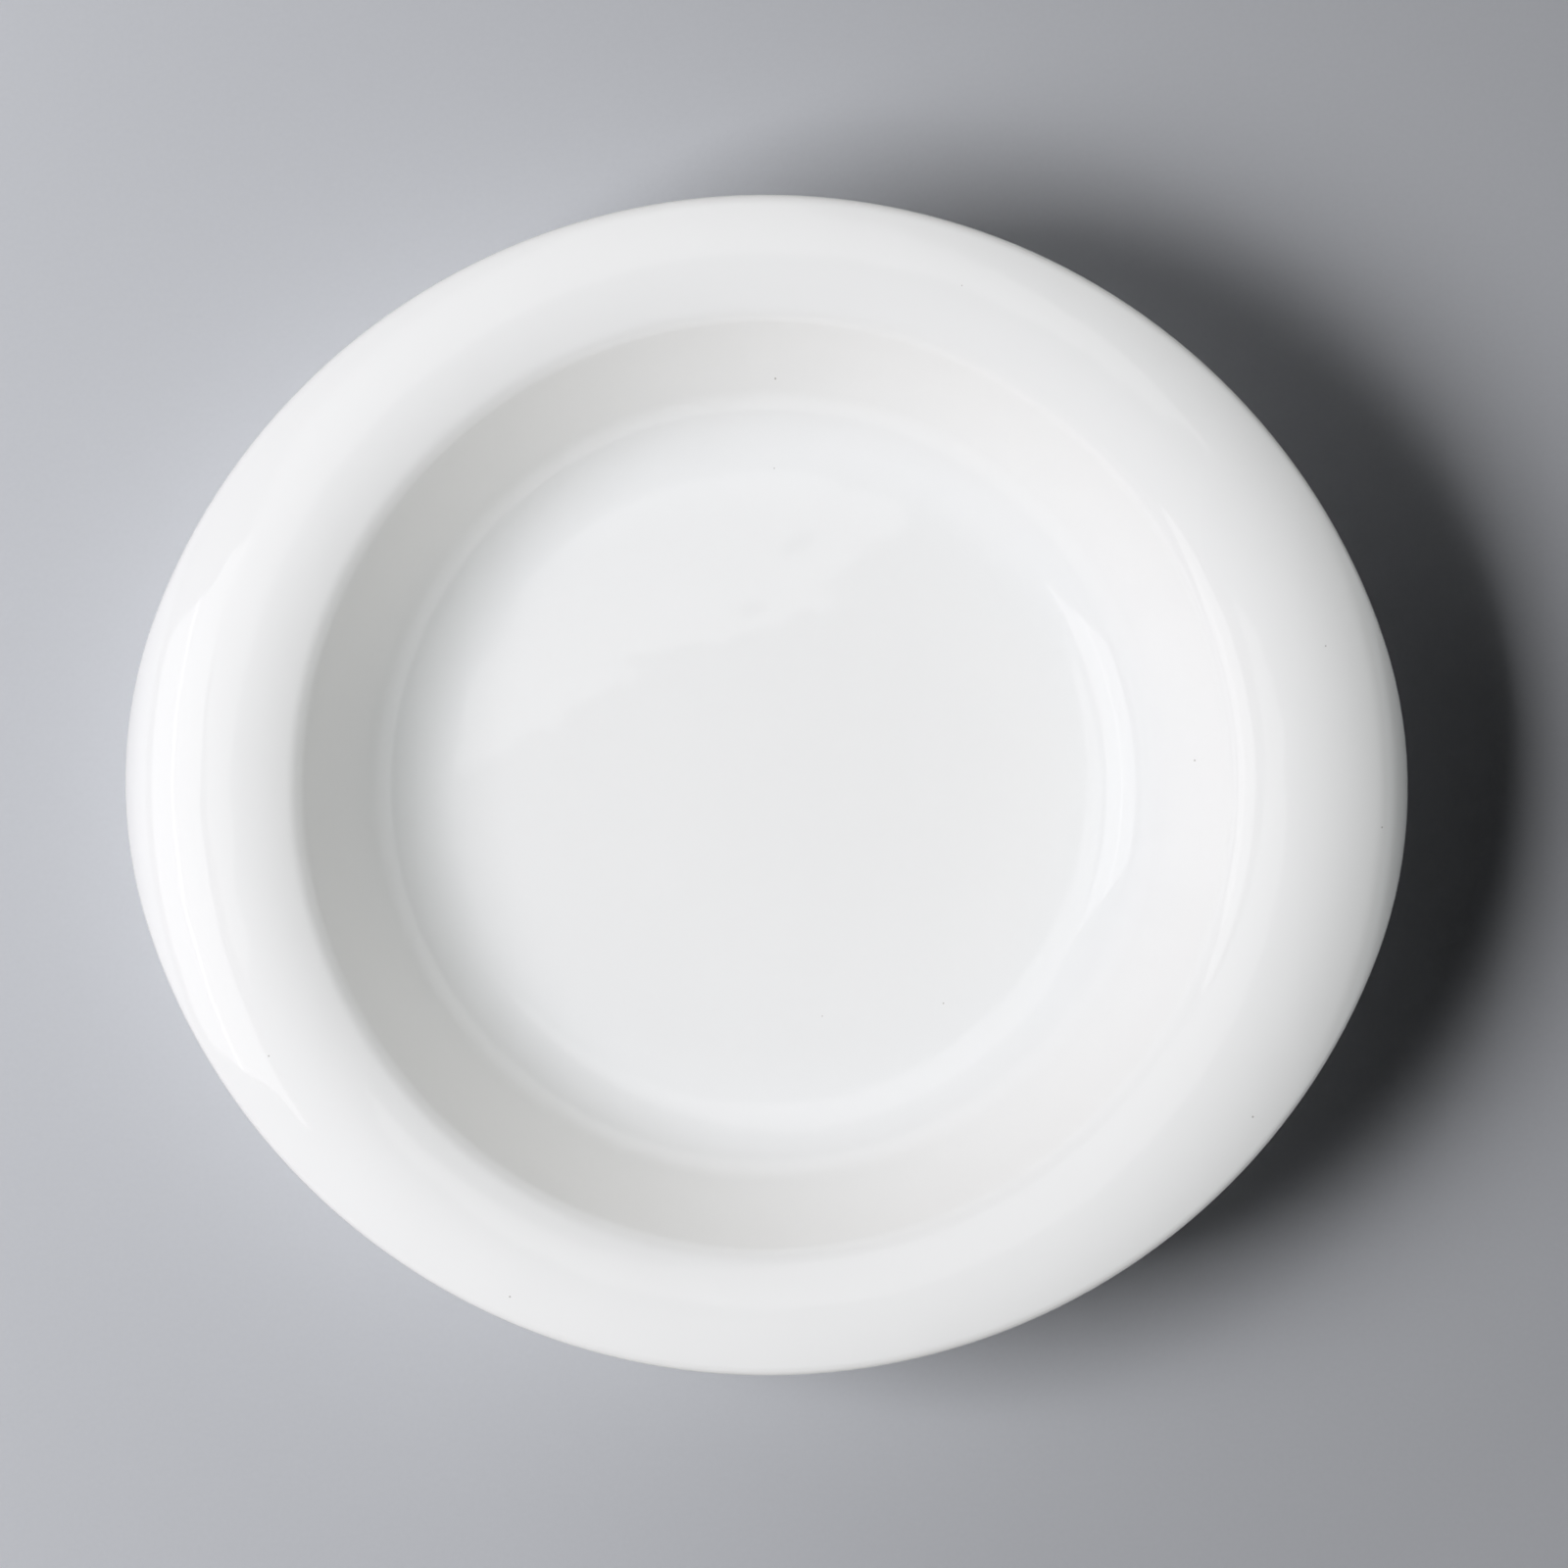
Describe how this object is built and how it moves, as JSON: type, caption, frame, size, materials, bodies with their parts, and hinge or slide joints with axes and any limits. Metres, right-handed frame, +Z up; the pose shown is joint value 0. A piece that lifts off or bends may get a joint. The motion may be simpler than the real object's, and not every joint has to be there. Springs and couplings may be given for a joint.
{
  "type": "deep plate",
  "caption": "Oval deep plate with a round well, a domed rim that rolls down at both ends, and a bare foot ring round a glazed base.",
  "frame": {"origin": "on the table under the middle of the plate", "axes": "+Z up, +X along the plate's long axis towards one drooping end, +Y towards one long side"},
  "size_m": [0.2798, 0.256, 0.048],
  "materials": {
    "fired_clay": "matte unglazed porcelain",
    "white_glaze": "glossy white porcelain glaze"
  },
  "bodies": {
    "root": {"porcelain_body": "fired_clay", "face_glaze": "white_glaze", "base_glaze": "white_glaze"}
  },
  "joints": []
}
